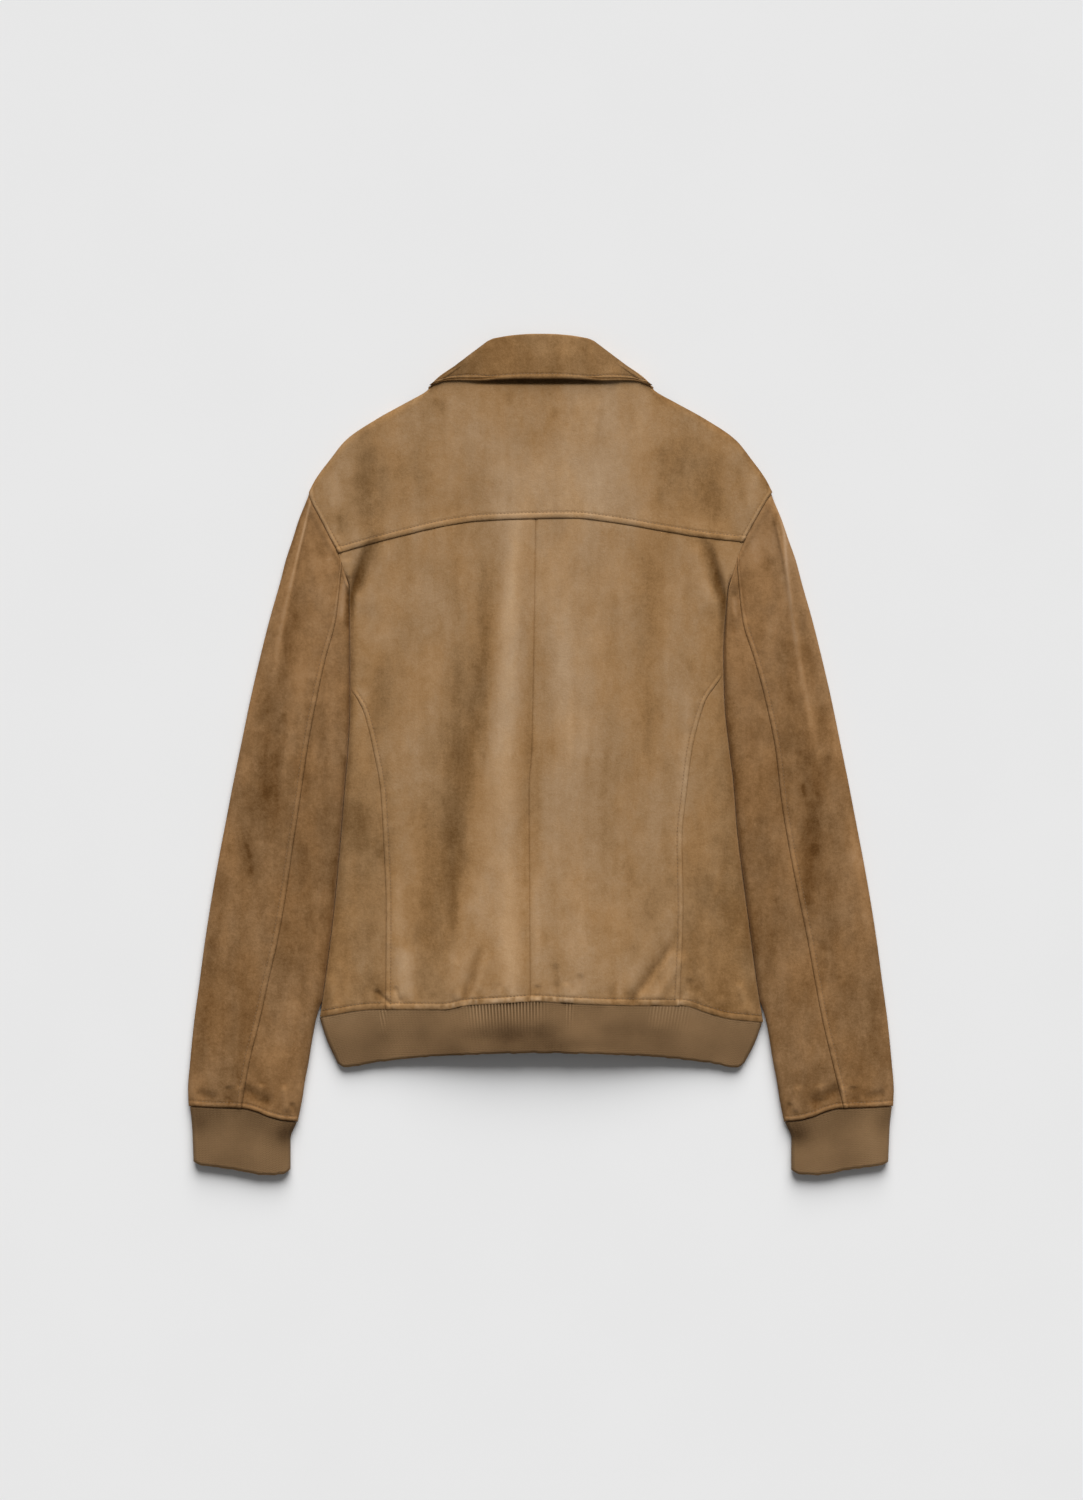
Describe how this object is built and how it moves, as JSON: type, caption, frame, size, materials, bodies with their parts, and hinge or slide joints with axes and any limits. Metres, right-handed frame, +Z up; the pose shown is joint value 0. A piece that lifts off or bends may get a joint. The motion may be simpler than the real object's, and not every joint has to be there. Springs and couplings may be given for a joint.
{
  "type": "suede blouson jacket",
  "caption": "Zip-front suede blouson laid flat with its back up: one-piece yoke, panelled back, long sleeves, shirt collar, knitted rib hem and cuffs.",
  "frame": {"origin": "centre of the bounding box, on the surface that the jacket lies on", "axes": "+Z up from the surface, +Y from the hem to the collar, +X to the wearer's right sleeve, seen from the back"},
  "size_m": [0.6832, 0.815, 0.0176],
  "materials": {
    "suede": "matt suede with a short nap",
    "rib_knit": "matt ribbed knit",
    "zip_tape": "matt woven tape",
    "zip_metal": "aged satin metal"
  },
  "bodies": {
    "root": {"back_yoke": "suede", "back_left": "suede", "back_right": "suede", "side_left": "suede", "side_right": "suede", "front_left": "suede", "front_right": "suede", "sleeve_upper_left": "suede", "sleeve_upper_right": "suede", "sleeve_under_left": "suede", "sleeve_under_right": "suede", "collar_leaf": "suede", "collar_stand": "suede", "cuff_left": "rib_knit", "cuff_right": "rib_knit", "hem_rib": "rib_knit", "zip_tape": "zip_tape", "zip_chain": "zip_metal", "zip_slider": "zip_metal"}
  },
  "joints": []
}
